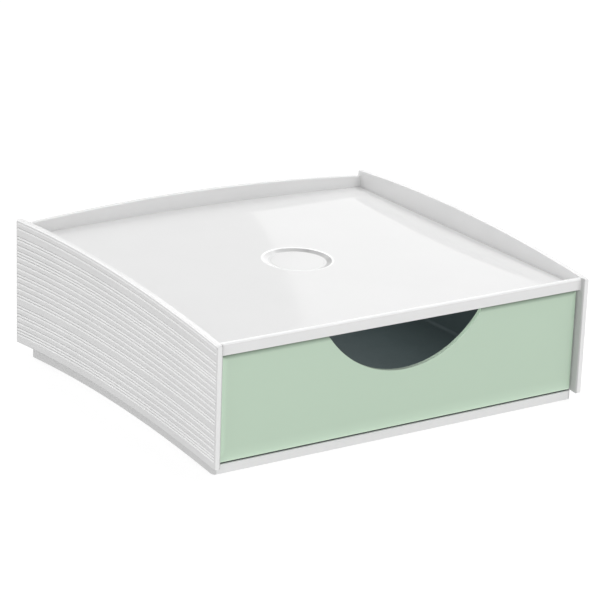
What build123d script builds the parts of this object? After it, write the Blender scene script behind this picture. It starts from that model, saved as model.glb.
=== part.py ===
"""Modular desk drawer unit: a white housing of flat moulded panels with one sliding drawer.

Millimetres. +Z up, the drawer opens towards -Y, +X is the right-hand side seen from the front.
The origin is on the standing surface, under the middle of the unit.
"""

import os

from build123d import *

# Housing
unit_width = 264.0
unit_depth = 244.0
panel_wall = 4.0
panel_front_height = 74.2
panel_back_rise = 7.5
edge_arch = 5.9
foot_stand = 0.8
plinth_height = 5.5

# Lines that run along the side panels like the page edges of a paper stack, in steps of one sheet
sheet_steps = [3, 1, 1, 2, 2, 1, 2, 1, 3, 1, 2, 2, 2, 1, 2, 2, 2, 1, 1, 2, 2, 1, 3, 2, 1]
groove_width = 0.9
groove_depth = 0.5
groove_end_margin = 1.2

# Deck, lip and round recess
lip_setback = 3.0
lip_wall = 3.0
lip_height = 7.6
lip_round = 0.8
deck_drop = 5.6
deck_back_rise = 2.2
deck_back_arch = 3.0
deck_wall = 2.0
recess_diameter = 45.0
recess_floor_diameter = 33.0
recess_depth = 1.5
recess_floor_wall = 1.2
disc_thickness = 0.8
disc_clearance = 0.1

# Back panel
back_wall = 3.5
back_end_drop = 3.3

# Base pan
plinth_inset = 2.7
plinth_wall = 3.0
plinth_back_inset = 16.0
plinth_corner = 2.4
plinth_joint = 0.2
strip_setback = 6.0
strip_height = 5.2
ledge_wall = 2.5
ledge_reach = 7.0
floor_wall = 2.0
floor_rise = 3.5

# Feet
foot_diameter = 14.0
foot_sink = 1.0
foot_clearance = 0.1
pad_diameter = 18.0
pad_height = 1.4
foot_side_inset = 22.0
foot_front_inset = 27.0
foot_back_inset = 37.0

# Screws and the lugs and bosses that take them
screw_diameter = 3.0
screw_clearance = 0.1
screw_head_diameter = 5.6
screw_head_height = 1.9
sunk_head_height = 1.5
boss_diameter = 7.0
lug_reach = 8.0
lug_screw_inset = 5.0
lug_length = 12.0
lug_height = 8.0
lug_end_inset = 30.0
upper_lug_height = 4.0
upper_lug_end_inset = 42.0
deck_boss_height = 7.0
rear_lug_floor_rise = 16.5
rear_lug_runner_rise = 12.0
blind_end = 1.2

# Runners
runner_web = 2.5
runner_ledge = 2.4
runner_reach = 7.5
runner_back_gap = 4.5
runner_screw_inset = 36.0
runner_screw_count = 3
runner_screw_grip = 2.4

# Drawer
drawer_setback = 4.2
drawer_side_gap = 0.8
drawer_top_gap = 0.8
drawer_bottom_gap = 0.9
front_wall = 2.8
front_round = 0.9
notch_width = 110.0
notch_depth = 29.5
front_boss_height = 6.0
front_boss_inset = 32.0
front_boss_low = 14.0
front_boss_top_inset = 7.8
tray_wall = 2.2
tray_side_gap = 9.0
tray_floor_gap = 0.7
tray_back_gap = 4.5
tray_top_gap = 1.0
tray_corner = 3.0
tray_notch_margin = 9.0
rib_wall = 3.0
rib_drop = 16.0
rib_gap = 0.35
rib_side_gap = 0.5
rib_end_inset = 4.0
close_gap = 0.3

# Stops under the deck and the tabs on the tray that meet them
stop_offset = 70.0
stop_width = 16.0
stop_plate = 2.0
stop_tongue = 3.0
stop_drop = 7.0
stop_length = 14.0
stop_from_front = 62.0
peg_diameter = 4.0
peg_clearance = 0.1
tab_height = 5.2

overrun = 1.0

# Planes and levels that the pieces share
front_y = -unit_depth / 2
back_y = unit_depth / 2
inner_x = unit_width / 2 - panel_wall
panel_low = foot_stand + plinth_height
lip_top = panel_low + panel_front_height
lip_low = lip_top - lip_height
deck_front_top = lip_top - deck_drop
deck_low = deck_front_top - deck_wall
back_inner_y = back_y - back_wall
strip_front_y = front_y + strip_setback
strip_top = foot_stand + strip_height
floor_top = strip_top + floor_rise
floor_low = floor_top - floor_wall
lug_x = inner_x - lug_reach / 2
screw_x = inner_x - lug_screw_inset
screw_hole_radius = screw_diameter / 2 + screw_clearance
drawer_front_y = front_y + drawer_setback
drawer_back_of_front_y = drawer_front_y + front_wall
tray_front_y = drawer_back_of_front_y + front_boss_height
tray_back_y = back_inner_y - tray_back_gap
tray_half = inner_x - tray_side_gap
tray_low = floor_top + tray_floor_gap
tray_top = deck_low - stop_drop - tray_top_gap
tray_height = tray_top - tray_low
runner_height = tray_top - rib_drop
notch_low = lip_low - notch_depth
notch_radius = (notch_width**2 / 4 + notch_depth**2) / (2 * notch_depth)
sides = (("left", -1), ("right", 1))
bottom_up = (Align.CENTER, Align.CENTER, Align.MIN)
top_down = (Align.CENTER, Align.CENTER, Align.MAX)

os.makedirs("parts", exist_ok=True)


def panel_point(share, along):
    """A point (y, z) of a side panel, at a share of its height and a share of its length."""
    front = panel_low + share * panel_front_height
    climb = share * panel_back_rise * along
    bow = 4 * edge_arch * along * (1 - along)
    return front_y + along * unit_depth, front + climb + bow


def panel_line(share, start, end):
    """An arched line along a side panel, at one share of its height."""
    middle = (start + end) / 2
    return ThreePointArc(panel_point(share, start), panel_point(share, middle), panel_point(share, end))


def pan_screw(grip):
    """A pan-head screw: its head seats at the local origin and its shank runs along local +Z."""
    Cylinder(screw_diameter / 2, grip, align=bottom_up)
    Cylinder(screw_head_diameter / 2, screw_head_height, align=top_down)


def sunk_screw(grip):
    """A countersunk screw: its flat head lies at the local origin and its shank runs along local +Z."""
    Cylinder(screw_diameter / 2, grip, align=bottom_up)
    Cone(screw_head_diameter / 2, screw_diameter / 2, sunk_head_height, align=bottom_up)


def sunk_hole(depth):
    """Room for a countersunk screw, cut from the local origin along local +Z."""
    Cylinder(screw_hole_radius, depth, align=bottom_up, mode=Mode.SUBTRACT)
    seat = screw_head_diameter / 2 + screw_clearance
    Cone(seat, screw_hole_radius, sunk_head_height + screw_clearance, align=bottom_up, mode=Mode.SUBTRACT)


# Places of the screws, one side at a time and then for both sides
deck_seat_z = deck_low - deck_boss_height - upper_lug_height


def base_spots(side):
    """Seats of the screws that rise through the floor into a side panel."""
    reach = unit_depth / 2 - lug_end_inset
    return [(side * screw_x, end * reach, floor_low) for end in (-1, 1)]


def deck_spots(side):
    """Seats of the screws that rise through a side panel's upper lugs into the deck."""
    reach = unit_depth / 2 - upper_lug_end_inset
    return [(side * screw_x, end * reach, deck_seat_z) for end in (-1, 1)]


def back_spots(side):
    """Seats of the screws that run forwards through the back panel into a side panel."""
    heights = (floor_top + rear_lug_floor_rise, runner_height + rear_lug_runner_rise)
    return [Plane((side * screw_x, back_y, height), z_dir=(0, -1, 0)) for height in heights]


def front_spots(side):
    """Seats of the screws that run forwards through the tray into the drawer front."""
    x = side * (tray_half - front_boss_inset)
    y = tray_front_y + tray_wall
    heights = (tray_low + front_boss_low, tray_top - front_boss_top_inset)
    return [Plane((x, y, height), z_dir=(0, -1, 0)) for height in heights]


def runner_spots(side):
    """Seats of the screws that run outwards through a runner into a side panel."""
    return [Plane((side * web_x, y, runner_height), z_dir=(side, 0, 0)) for y in runner_screw_ys]


base_screw_spots = base_spots(-1) + base_spots(1)
deck_screw_spots = deck_spots(-1) + deck_spots(1)
back_screw_spots = back_spots(-1) + back_spots(1)
front_screw_spots = front_spots(-1) + front_spots(1)
runner_front_y = drawer_back_of_front_y + close_gap
runner_back_y = back_inner_y - runner_back_gap
runner_length = runner_back_y - runner_front_y
runner_screw_pitch = (runner_length - 2 * runner_screw_inset) / (runner_screw_count - 1)
runner_first_y = runner_front_y + runner_screw_inset
runner_screw_ys = [runner_first_y + number * runner_screw_pitch for number in range(runner_screw_count)]
web_x = inner_x - runner_web

# Side panels: flat cheeks between two arched edges, grooved outside, with screw lugs inside
groove_start = groove_end_margin / unit_depth
groove_end = 1 - groove_start
half_groove = groove_width / panel_front_height / 2
for side_name, side in sides:
    with BuildPart() as side_panel:
        with BuildSketch(Plane.YZ.offset(side * inner_x)):
            with BuildLine():
                panel_line(0, 0, 1)
                Line(panel_point(0, 1), panel_point(1, 1))
                panel_line(1, 0, 1)
                Line(panel_point(0, 0), panel_point(1, 0))
            make_face()
        extrude(amount=side * panel_wall)
        with Locations(*[(side * lug_x, y, floor_top) for x, y, z in base_spots(side)]):
            Box(lug_reach, lug_length, lug_height, align=bottom_up)
        with Locations(*[(side * lug_x, y, z) for x, y, z in deck_spots(side)]):
            Box(lug_reach, lug_length, upper_lug_height, align=bottom_up)
        with Locations(*[(side * lug_x, back_inner_y, spot.origin.Z) for spot in back_spots(side)]):
            Box(lug_reach, lug_height, lug_length, align=(Align.CENTER, Align.MAX, Align.CENTER))
        with Locations(*[(x, y, floor_top) for x, y, z in base_spots(side)]):
            Cylinder(screw_hole_radius, lug_height - blind_end, align=bottom_up, mode=Mode.SUBTRACT)
        with Locations(*deck_spots(side)):
            Cylinder(screw_hole_radius, upper_lug_height, align=bottom_up, mode=Mode.SUBTRACT)
        with Locations(*[spot.offset(back_wall) for spot in back_spots(side)]):
            Cylinder(screw_hole_radius, lug_height - blind_end, align=bottom_up, mode=Mode.SUBTRACT)
        with Locations(*[spot.offset(runner_web) for spot in runner_spots(side)]):
            pilot_depth = runner_screw_grip + screw_clearance
            Cylinder(screw_hole_radius, pilot_depth, align=bottom_up, mode=Mode.SUBTRACT)
        with BuildSketch(Plane.YZ.offset(side * unit_width / 2)):
            sheets = 0
            for step in sheet_steps[:-1]:
                sheets += step
                low = sheets / sum(sheet_steps) - half_groove
                high = low + 2 * half_groove
                with BuildLine():
                    panel_line(low, groove_start, groove_end)
                    Line(panel_point(low, groove_end), panel_point(high, groove_end))
                    panel_line(high, groove_start, groove_end)
                    Line(panel_point(low, groove_start), panel_point(high, groove_start))
                make_face()
        extrude(amount=-side * groove_depth, mode=Mode.SUBTRACT)
    side_panel.part.label = f"{side_name}_side_panel"
    export_step(side_panel.part, f"parts/{side_name}_side_panel.step")

# Top deck: a plate that rises and arches gently to the back, with a straight front lip, a round
# dished recess, and bosses and pads below
deck_front_y = front_y + lip_setback
plate_front_y = deck_front_y + lip_wall / 2
plate_length = back_inner_y - plate_front_y


def deck_level(x, y):
    """Height of the deck's upper face at a place in plan."""
    along = (y - plate_front_y) / plate_length
    across = x / (2 * inner_x) + 1 / 2
    return deck_front_top + along * (deck_back_rise + 4 * deck_back_arch * across * (1 - across))


def deck_edge(drop):
    """The arched back edge of the deck, at a depth below its upper face."""
    places = ((x, deck_level(x, back_inner_y) - drop) for x in (-inner_x, 0, inner_x))
    return ThreePointArc(*places)


middle_slope = (deck_back_rise + deck_back_arch) / plate_length
recess_plane = Plane((0, 0, deck_level(0, 0)), x_dir=(1, 0, 0), z_dir=(0, -middle_slope, 1))
recess_flare = (recess_diameter - recess_floor_diameter) / 2 / recess_depth
well_depth = recess_depth + disc_thickness + recess_floor_wall
peg_y = front_y + stop_from_front - stop_length / 2 - stop_tongue / 2
stop_reach = stop_length + stop_tongue
stop_middle_y = front_y + stop_from_front - stop_reach / 2
with BuildPart() as top_deck:
    with BuildSketch(Plane.YZ.offset(-inner_x)):
        with Locations((deck_front_y + lip_wall / 2, lip_low + lip_height / 2)):
            Rectangle(lip_wall, lip_height)
    extrude(amount=2 * inner_x)
    fillet(top_deck.edges().filter_by(Axis.X).group_by(Axis.Z)[-1], lip_round)
    with BuildPart(mode=Mode.ADD):
        with BuildSketch(Plane.XZ.offset(-plate_front_y)):
            with Locations((0, deck_front_top - deck_wall / 2)):
                Rectangle(2 * inner_x, deck_wall)
        with BuildSketch(Plane.XZ.offset(-back_inner_y)):
            with BuildLine():
                upper = deck_edge(0)
                lower = deck_edge(deck_wall)
                Line(upper @ 0, lower @ 0)
                Line(upper @ 1, lower @ 1)
            make_face()
        loft(ruled=True)
    with Locations(recess_plane.offset(-deck_wall / 2)):
        Cylinder(recess_diameter / 2, well_depth - deck_wall / 2, align=top_down)
    with Locations(recess_plane.offset(-recess_depth)):
        Cone(
            recess_floor_diameter / 2,
            recess_diameter / 2 + overrun * recess_flare,
            recess_depth + overrun,
            align=bottom_up,
            mode=Mode.SUBTRACT,
        )
        Cylinder(recess_floor_diameter / 2, disc_thickness, align=top_down, mode=Mode.SUBTRACT)
    for x, y, seat_z in deck_screw_spots:
        boss_low = seat_z + upper_lug_height
        boss_top = deck_level(x, y) - deck_wall / 2
        with Locations((x, y, boss_low)):
            Cylinder(boss_diameter / 2, boss_top - boss_low, align=bottom_up)
            Cylinder(screw_hole_radius, deck_boss_height, align=bottom_up, mode=Mode.SUBTRACT)
    pad_top = deck_level(stop_offset, stop_middle_y - stop_reach / 2) - deck_wall / 2
    with Locations(*[(side * stop_offset, stop_middle_y, deck_low) for _, side in sides]):
        Box(stop_width, stop_reach, pad_top - deck_low, align=bottom_up)
    with Locations(*[(side * stop_offset, peg_y, deck_low) for _, side in sides]):
        Cylinder(peg_diameter / 2, stop_plate, align=top_down)
top_deck.part.label = "top_deck"
export_step(top_deck.part, "parts/top_deck.step")

# Deck disc: the bare round inlay on the recess floor
with BuildPart() as deck_disc:
    with Locations(recess_plane.offset(-recess_depth)):
        Cylinder(recess_floor_diameter / 2 - disc_clearance, disc_thickness, align=top_down)
deck_disc.part.label = "deck_disc"
export_step(deck_disc.part, "parts/deck_disc.step")

# Back panel: stands between the side panels, and its arched upper edge is the deck's back rim
back_end_top = panel_point(1, 1)[1] - back_end_drop
with BuildPart() as back_panel:
    with BuildSketch(Plane.XZ.offset(-back_y)):
        with BuildLine():
            Line((-inner_x, panel_low), (inner_x, panel_low))
            Line((inner_x, panel_low), (inner_x, back_end_top))
            ThreePointArc((inner_x, back_end_top), (0, back_end_top + edge_arch), (-inner_x, back_end_top))
            Line((-inner_x, back_end_top), (-inner_x, panel_low))
        make_face()
    extrude(amount=back_wall)
    with Locations(*back_screw_spots):
        sunk_hole(back_wall)
back_panel.part.label = "back_panel"
export_step(back_panel.part, "parts/back_panel.step")

# Base pan: a raised floor, a stepped front strip and a low plinth that arches along both sides
plinth_x = unit_width / 2 - plinth_inset
plinth_inner_x = plinth_x - plinth_wall
plinth_back_y = back_y - plinth_back_inset
plinth_length = plinth_back_y - strip_front_y
plinth_middle_y = (strip_front_y + plinth_back_y) / 2
joint_share = plinth_joint / panel_front_height
step_y = strip_front_y + ledge_reach
foot_spots = {
    f"{end_name}_{side_name}": (side * (unit_width / 2 - foot_side_inset), y)
    for end_name, y in (("front", front_y + foot_front_inset), ("rear", back_y - foot_back_inset))
    for side_name, side in sides
}
pad_low = foot_stand + pad_height
with BuildPart() as base_pan:
    with BuildSketch(Plane.XY.offset(foot_stand)):
        with Locations((0, plinth_middle_y)):
            RectangleRounded(2 * plinth_x, plinth_length, plinth_corner)
            Rectangle(2 * plinth_inner_x, plinth_length - 2 * plinth_wall, mode=Mode.SUBTRACT)
    extrude(amount=plinth_height + edge_arch)
    with BuildSketch(Plane.YZ.offset(-plinth_x - overrun)):
        with BuildLine():
            ThreePointArc(
                (strip_front_y, foot_stand),
                (plinth_middle_y, foot_stand + edge_arch),
                (plinth_back_y, foot_stand),
            )
            Line((plinth_back_y, foot_stand), (strip_front_y, foot_stand))
        make_face()
        with BuildLine():
            panel_line(-joint_share, 0, 1)
            Line(panel_point(-joint_share, 1), panel_point(1, 1))
            Line(panel_point(1, 1), panel_point(1, 0))
            Line(panel_point(1, 0), panel_point(-joint_share, 0))
        make_face()
    extrude(amount=2 * (plinth_x + overrun), mode=Mode.SUBTRACT)
    with Locations((0, strip_front_y - overrun, strip_top)):
        Box(
            2 * inner_x,
            ledge_reach + overrun,
            plinth_height + edge_arch,
            align=(Align.CENTER, Align.MIN, Align.MIN),
            mode=Mode.SUBTRACT,
        )
    with BuildSketch(Plane.YZ.offset(-plinth_inner_x)):
        with BuildLine():
            Polyline(
                (strip_front_y + plinth_wall, strip_top - ledge_wall),
                (strip_front_y + plinth_wall, strip_top),
                (step_y, strip_top),
                (step_y, floor_top),
                (back_inner_y, floor_top),
                (back_inner_y, floor_low),
                (step_y + ledge_wall, floor_low),
                (step_y + ledge_wall, strip_top - ledge_wall),
                close=True,
            )
        make_face()
    extrude(amount=2 * plinth_inner_x)
    with BuildSketch(Plane.XY.offset(floor_low)):
        with Locations((0, (step_y + back_inner_y) / 2)):
            Rectangle(2 * inner_x, back_inner_y - step_y)
    extrude(amount=floor_wall)
    with BuildSketch(Plane.XY.offset(strip_top)):
        with Locations((0, plinth_back_y - plinth_wall / 2)):
            Rectangle(2 * plinth_inner_x, plinth_wall)
    extrude(amount=floor_top - strip_top)
    with Locations(*[(x, y, floor_low) for x, y in foot_spots.values()]):
        Cylinder(pad_diameter / 2, floor_low - pad_low, align=top_down)
    with Locations(*[(x, y, pad_low) for x, y in foot_spots.values()]):
        Cylinder(foot_diameter / 2 + foot_clearance, foot_sink, align=bottom_up, mode=Mode.SUBTRACT)
    with Locations(*base_screw_spots):
        Cylinder(screw_hole_radius, floor_wall, align=bottom_up, mode=Mode.SUBTRACT)
base_pan.part.label = "base_pan"
export_step(base_pan.part, "parts/base_pan.step")

# Rubber feet, pressed into the pads under the floor
for foot_name, (x, y) in foot_spots.items():
    with BuildPart() as foot:
        with Locations((x, y, 0)):
            Cylinder(foot_diameter / 2, pad_low + foot_sink, align=bottom_up)
    foot.part.label = f"foot_{foot_name}"
    export_step(foot.part, f"parts/foot_{foot_name}.step")

# Runners: channel rails on the side panels, whose slots carry the ribs of the drawer tray
slot_half = rib_wall / 2 + rib_gap
for side_name, side in sides:
    with BuildPart() as runner:
        with BuildSketch(Plane.XZ.offset(-runner_front_y)):
            with Locations((side * (inner_x - runner_reach / 2), runner_height)):
                Rectangle(runner_reach, 2 * (slot_half + runner_ledge))
            with Locations((side * (web_x - runner_reach / 2), runner_height)):
                Rectangle(runner_reach, 2 * slot_half, mode=Mode.SUBTRACT)
        extrude(amount=-runner_length)
        with Locations(*runner_spots(side)):
            sunk_hole(runner_web)
    runner.part.label = f"{side_name}_runner"
    export_step(runner.part, f"parts/{side_name}_runner.step")

    with BuildPart() as runner_screws:
        with Locations(*runner_spots(side)):
            sunk_screw(runner_web + runner_screw_grip)
    runner_screws.part.label = f"{side_name}_runner_screws"
    export_step(runner_screws.part, f"parts/{side_name}_runner_screws.step")

# Drawer stops: small catches staked under the deck, with a tongue that the tray's tabs meet
stop_back_y = front_y + stop_from_front
for side_name, side in sides:
    with BuildPart() as drawer_stop:
        with BuildSketch(Plane.YZ.offset(side * stop_offset - stop_width / 2)):
            with BuildLine():
                Polyline(
                    (stop_back_y - stop_length - stop_tongue, deck_low),
                    (stop_back_y, deck_low),
                    (stop_back_y, deck_low - stop_drop),
                    (stop_back_y - stop_tongue, deck_low - stop_drop),
                    (stop_back_y - stop_tongue, deck_low - stop_plate),
                    (stop_back_y - stop_length - stop_tongue, deck_low - stop_plate),
                    close=True,
                )
            make_face()
        extrude(amount=stop_width)
        with Locations((side * stop_offset, peg_y, deck_low)):
            Cylinder(peg_diameter / 2 + peg_clearance, stop_plate, align=top_down, mode=Mode.SUBTRACT)
    drawer_stop.part.label = f"{side_name}_drawer_stop"
    export_step(drawer_stop.part, f"parts/{side_name}_drawer_stop.step")

# Screws of the housing
with BuildPart() as base_screws:
    with Locations(*base_screw_spots):
        pan_screw(floor_wall + lug_height - 2 * blind_end)
base_screws.part.label = "base_screws"
export_step(base_screws.part, "parts/base_screws.step")

with BuildPart() as deck_screws:
    with Locations(*deck_screw_spots):
        pan_screw(upper_lug_height + deck_boss_height - blind_end)
deck_screws.part.label = "deck_screws"
export_step(deck_screws.part, "parts/deck_screws.step")

with BuildPart() as back_screws:
    with Locations(*back_screw_spots):
        sunk_screw(back_wall + lug_height - 2 * blind_end)
back_screws.part.label = "back_screws"
export_step(back_screws.part, "parts/back_screws.step")

# Drawer tray: an open box with a rib along each side, a lowered front wall and two stop tabs
rib_outer_x = web_x - rib_side_gap
with BuildPart() as drawer_tray:
    with BuildSketch(Plane.XY.offset(tray_low)):
        with Locations((0, (tray_front_y + tray_back_y) / 2)):
            RectangleRounded(2 * tray_half, tray_back_y - tray_front_y, tray_corner)
    extrude(amount=tray_height)
    with BuildSketch(Plane.XY.offset(tray_low + tray_wall)):
        with Locations((0, (tray_front_y + tray_back_y) / 2)):
            RectangleRounded(
                2 * (tray_half - tray_wall),
                tray_back_y - tray_front_y - 2 * tray_wall,
                tray_corner - tray_wall,
            )
    extrude(amount=tray_height, mode=Mode.SUBTRACT)
    rib_length = tray_back_y - tray_front_y - 2 * rib_end_inset
    with Locations((0, (tray_front_y + tray_back_y) / 2, runner_height)):
        with GridLocations(tray_half + rib_outer_x, 0, 2, 1):
            Box(rib_outer_x - tray_half, rib_length, rib_wall)
    with Locations(*[(side * stop_offset, tray_back_y, tray_top) for _, side in sides]):
        Box(stop_width, tray_wall, tab_height, align=(Align.CENTER, Align.MAX, Align.MIN))
    with BuildSketch(Plane.XZ.offset(-tray_front_y - tray_wall)):
        with Locations((0, notch_low + notch_radius)):
            Circle(notch_radius + tray_notch_margin)
    extrude(amount=tray_wall + overrun, mode=Mode.SUBTRACT)
    with Locations(*front_screw_spots):
        Cylinder(screw_hole_radius, tray_wall, align=bottom_up, mode=Mode.SUBTRACT)
drawer_tray.part.label = "drawer_tray"
export_step(drawer_tray.part, "parts/drawer_tray.step")

# Drawer front: a thin panel with a half-moon finger cut-out, a soft edge and screw bosses behind
front_low = strip_top + drawer_bottom_gap
front_top = lip_low - drawer_top_gap
front_half = inner_x - drawer_side_gap
with BuildPart() as drawer_front:
    with BuildSketch(Plane.XZ.offset(-drawer_front_y)):
        with Locations((0, (front_low + front_top) / 2)):
            Rectangle(2 * front_half, front_top - front_low)
        with Locations((0, notch_low + notch_radius)):
            Circle(notch_radius, mode=Mode.SUBTRACT)
    extrude(amount=-front_wall)
    fillet(drawer_front.faces().sort_by(Axis.Y)[0].edges(), front_round)
    with Locations(*[spot.offset(tray_wall) for spot in front_screw_spots]):
        Cylinder(boss_diameter / 2, front_boss_height, align=bottom_up)
        Cylinder(screw_hole_radius, front_boss_height, align=bottom_up, mode=Mode.SUBTRACT)
drawer_front.part.label = "drawer_front"
export_step(drawer_front.part, "parts/drawer_front.step")

with BuildPart() as drawer_front_screws:
    with Locations(*front_screw_spots):
        pan_screw(tray_wall + front_boss_height - blind_end)
drawer_front_screws.part.label = "drawer_front_screws"
export_step(drawer_front_screws.part, "parts/drawer_front_screws.step")

stop_travel = (tray_back_y - tray_wall) - stop_back_y
print(f"drawer travel to its stops: {stop_travel:.2f} mm")
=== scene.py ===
"""Looks of a modular desk drawer unit: a white moulded housing and one mint drawer, on its CAD frame.

Metres. +Z up, the drawer opens towards -Y, +X is the right-hand side seen from the front.
"""

import itertools
import math
from functools import partial

import bmesh
import bpy
from mathutils import Matrix, Quaternion, Vector


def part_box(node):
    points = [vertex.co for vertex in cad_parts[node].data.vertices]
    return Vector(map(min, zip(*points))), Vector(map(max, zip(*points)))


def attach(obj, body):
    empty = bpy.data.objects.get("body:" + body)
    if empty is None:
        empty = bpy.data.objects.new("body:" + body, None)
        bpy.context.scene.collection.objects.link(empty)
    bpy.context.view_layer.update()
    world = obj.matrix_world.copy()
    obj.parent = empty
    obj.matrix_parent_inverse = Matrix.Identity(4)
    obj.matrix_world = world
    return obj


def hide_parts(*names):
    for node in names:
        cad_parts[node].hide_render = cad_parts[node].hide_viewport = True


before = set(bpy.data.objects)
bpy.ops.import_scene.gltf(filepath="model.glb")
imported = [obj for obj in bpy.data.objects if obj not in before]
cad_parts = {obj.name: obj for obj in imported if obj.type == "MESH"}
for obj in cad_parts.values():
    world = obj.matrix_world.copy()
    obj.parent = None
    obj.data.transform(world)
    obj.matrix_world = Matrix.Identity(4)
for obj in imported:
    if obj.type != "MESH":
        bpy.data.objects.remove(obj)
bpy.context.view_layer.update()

# Base moulding: the pan that the unit stands on, with a low plinth that arches clear of the desk.
# It is one injection moulding in white polystyrene, and screws hold it to the side panels from below.
mm = 0.001
outline_steps = 6
round_steps = 5
edge_arch = 5.9 * mm
plinth_arch = 5 * mm
plinth_wall = 3 * mm
plinth_corner = 2.4 * mm
plinth_inner_corner = 1 * mm
plinth_joint = 0.2 * mm
plinth_back_inset = 16 * mm
plinth_edge = 0.45 * mm
plinth_runs = 40
ledge_wall = 2.5 * mm
ledge_reach = 7 * mm
strip_height = 5.2 * mm
floor_rise = 3.5 * mm
floor_wall = 2 * mm
pad_radius = 9 * mm
socket_radius = 7.1 * mm
pad_rise = 1.4 * mm
socket_depth = 1 * mm
noise_range = (0.3, 0.7)
gloss_range = (0.85, 1.2)
cloud_cells, gloss_cells, wave_cells = 22, 70, 30


def add_node(tree, kind, inputs=None, **settings):
    """A node with its settings, and its inputs set to values or linked to other nodes' outputs."""
    made = tree.nodes.new(kind)
    for key, value in settings.items():
        setattr(made, key, value)
    for key, value in (inputs or {}).items():
        if isinstance(value, bpy.types.NodeSocket):
            tree.links.new(value, made.inputs[key])
        else:
            made.inputs[key].default_value = value
    return made


def output(tree, kind, inputs=None, **settings):
    """The first output of a new node."""
    return add_node(tree, kind, inputs, **settings).outputs[0]


def new_finish(name):
    """An empty finish: its material, its node tree, its shader and the place on the piece."""
    material = bpy.data.materials.new(name)
    material.use_nodes = True
    tree = material.node_tree
    place = add_node(tree, "ShaderNodeTexCoord").outputs["Object"]
    return material, tree, tree.nodes["Principled BSDF"], place


def noise(tree, place, cells, detail):
    """A noise value of a number of cells per metre."""
    return output(tree, "ShaderNodeTexNoise", {"Vector": place, "Scale": cells, "Detail": detail})


def spread(tree, value, middle, shares):
    """A noise value stretched over a range around a middle."""
    return output(tree, "ShaderNodeMapRange", {
        "Value": value, "From Min": noise_range[0], "From Max": noise_range[1],
        "To Min": middle * shares[0], "To Max": middle * shares[1]})


def bumps(tree, height, distance, **below):
    """A normal that stands up with a height, on top of other bumps if there are any."""
    inputs = {"Height": height, "Strength": 1, "Distance": distance, **below}
    return output(tree, "ShaderNodeBump", inputs)


def moulded_plastic(name, shade, gloss, grain, relief, wave=0.0, cloud=0.03):
    """Injection-moulded plastic: cloudy pigment, uneven gloss, a tool-surface grain and slow sink waves."""
    material, tree, shader, place = new_finish(name)
    pigment = add_node(tree, "ShaderNodeValToRGB", {"Fac": noise(tree, place, cloud_cells, detail=3)})
    for stop, position, factor in zip(pigment.color_ramp.elements, noise_range, (1 - cloud, 1)):
        stop.position = position
        stop.color = [channel * factor for channel in shade] + [1]
    tree.links.new(pigment.outputs["Color"], shader.inputs["Base Color"])
    uneven = spread(tree, noise(tree, place, gloss_cells, detail=4), gloss, gloss_range)
    tree.links.new(uneven, shader.inputs["Roughness"])
    waves = bumps(tree, noise(tree, place, wave_cells, detail=1), wave)
    skin = bumps(tree, noise(tree, place, 1 / grain, detail=2), relief, Normal=waves)
    tree.links.new(skin, shader.inputs["Normal"])
    shader.inputs["IOR"].default_value = 1.5
    return material


def add_loft(bm, rows, ring=False):
    """Faces between rows of points, each row a closed loop. A ring joins its ends, others are capped."""
    loops = [[bm.verts.new(point) for point in row] for row in rows]
    for lower, upper in zip(loops, loops[1:] + loops[:1] if ring else loops[1:]):
        for number in range(len(lower)):
            follow = (number + 1) % len(lower)
            bm.faces.new((lower[number], lower[follow], upper[follow], upper[number]))
    if not ring:
        bm.faces.new(loops[0][::-1])
        bm.faces.new(loops[-1])


def add_box(bm, low, high):
    """A box between two corners."""
    corners = ((low[0], low[1]), (high[0], low[1]), (high[0], high[1]), (low[0], high[1]))
    add_loft(bm, [[(x, y, z) for x, y in corners] for z in (low[2], high[2])])


def add_prism(bm, outline, start, end):
    """An outline of (y, z) points drawn out along X."""
    add_loft(bm, [[(x, y, z) for y, z in outline] for x in (start, end)])


def add_turned(bm, centre, profile, axis=(0, 0, 1), count=48):
    """A turned form: a profile of (radius, height) points spun about an axis through a centre."""
    turn = Vector(axis).to_track_quat("Z", "Y").to_matrix()
    rows = []
    for radius, height in profile:
        angles = [math.tau * number / count for number in range(count)]
        spots = [Vector((radius * math.cos(a), radius * math.sin(a), height)) for a in angles]
        rows.append([Vector(centre) + turn @ spot for spot in spots])
    add_loft(bm, rows)


def arc(centre, radius, start, end, steps=round_steps):
    """Points on an arc, its angles in degrees."""
    angles = [math.radians(start + (end - start) * number / steps) for number in range(steps + 1)]
    return [(centre[0] + radius * math.cos(a), centre[1] + radius * math.sin(a)) for a in angles]


def rounded_outline(low, high, radius, x_runs=1, y_runs=1, steps=outline_steps, foot_radius=None):
    """Points of a rectangle with round corners, perhaps others at its foot, and sides cut into runs."""
    foot = foot_radius or radius
    corners = (
        (high[0] - foot, low[1] + foot, foot, -90), (high[0] - radius, high[1] - radius, radius, 0),
        (low[0] + radius, high[1] - radius, radius, 90), (low[0] + foot, low[1] + foot, foot, 180))
    arcs = [arc((x, y), bend, start, start + 90, steps) for x, y, bend, start in corners]
    points = []
    for number, corner in enumerate(arcs):
        points += corner
        first, last = Vector(corner[-1]), Vector(arcs[(number + 1) % 4][0])
        runs = y_runs if number % 2 == 0 else x_runs
        points += [tuple(first.lerp(last, share / runs)) for share in range(1, runs)]
    return points


def bow(share):
    """A shallow arch: none at both ends, and one in the middle."""
    return 4 * share * (1 - share)


def bake(piece):
    """A piece's mesh with its modifiers applied for good."""
    evaluated = piece.evaluated_get(bpy.context.evaluated_depsgraph_get())
    mesh = bpy.data.meshes.new_from_object(evaluated)
    piece.modifiers.clear()
    piece.data = mesh
    return mesh


def linked(name, data):
    """A new object in the scene."""
    made = bpy.data.objects.new(name, data)
    bpy.context.scene.collection.objects.link(made)
    return made


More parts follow.
